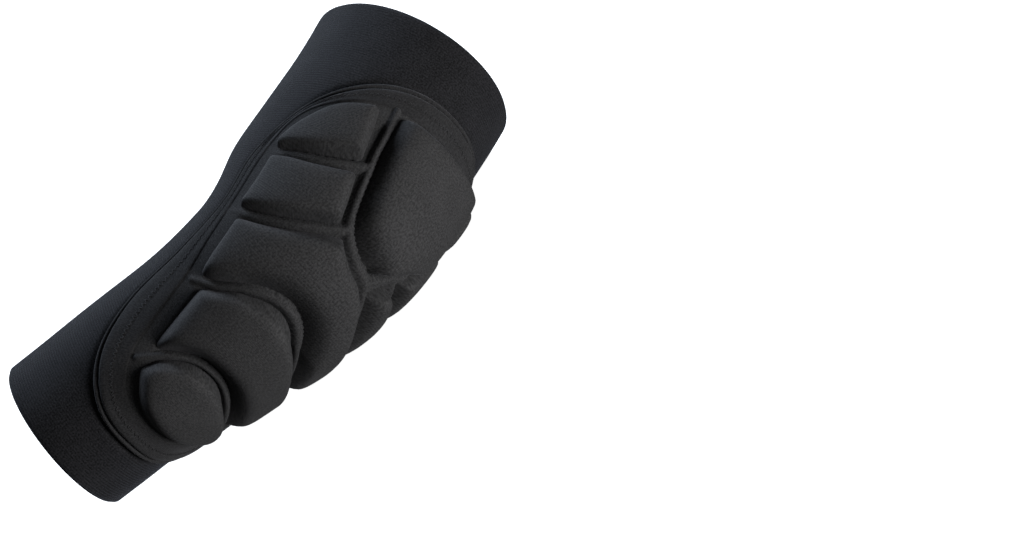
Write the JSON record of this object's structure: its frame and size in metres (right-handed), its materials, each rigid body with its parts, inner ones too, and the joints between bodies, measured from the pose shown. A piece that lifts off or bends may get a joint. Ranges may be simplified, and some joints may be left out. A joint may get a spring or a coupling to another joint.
{
  "type": "padded elbow sleeve",
  "caption": "Pull-on stretch elbow sleeve, pre-bent, with an oval moulded block pad and stitched border over the outer elbow.",
  "frame": {"origin": "middle of the bounding box, at the lowest point, with the sleeve lying on its side", "axes": "+X towards the upper-arm opening, -Y towards the padded outer side of the elbow, +Z square to the plane of the bend"},
  "size_m": [0.27, 0.1439, 0.111],
  "materials": {
    "knit": "brushed stretch knit",
    "face": "fine smooth knit, moulded over foam",
    "band": "flat pressed fabric band",
    "lining": "plain backing fabric",
    "piping": "folded edge",
    "thread": "polyester thread",
    "foam": "moulded closed-cell foam"
  },
  "bodies": {
    "upper_arm": {"upper_sleeve": "knit", "elbow_sleeve": "knit", "upper_hem": "knit", "backing_upper": "lining", "border_upper": "band", "piping_upper": "piping", "stitches_upper": "thread", "near_side_foam": "foam", "near_side_cover": "face", "near_corner_foam": "foam", "near_corner_cover": "face", "crown_foam": "foam", "crown_cover": "face", "far_side_foam": "foam", "far_side_cover": "face", "far_corner_foam": "foam", "far_corner_cover": "face"},
    "forearm": {"forearm_sleeve": "knit", "forearm_hem": "knit", "backing_forearm": "lining", "border_forearm": "band", "piping_forearm": "piping", "stitches_forearm": "thread", "backing_elbow": "lining", "border_elbow": "band", "piping_elbow": "piping", "stitches_elbow": "thread", "toe_foam": "foam", "toe_cover": "face", "lower_crescent_foam": "foam", "lower_crescent_cover": "face", "elbow_foam": "foam", "elbow_cover": "face", "far_wedge_foam": "foam", "far_wedge_cover": "face"}
  },
  "joints": [
    {"name": "elbow_bend", "type": "hinge", "parent": "upper_arm", "child": "forearm", "pos_m": [0.01685, -0.03071, 0.0557], "axis": [0, 0, -1], "range_deg": [-38, 50], "stiffness_Nm_per_rad": 0.6, "deforming": ["elbow_sleeve", "backing_elbow", "border_elbow", "piping_elbow", "stitches_elbow", "elbow_foam", "elbow_cover", "far_wedge_foam", "far_wedge_cover"]}
  ]
}
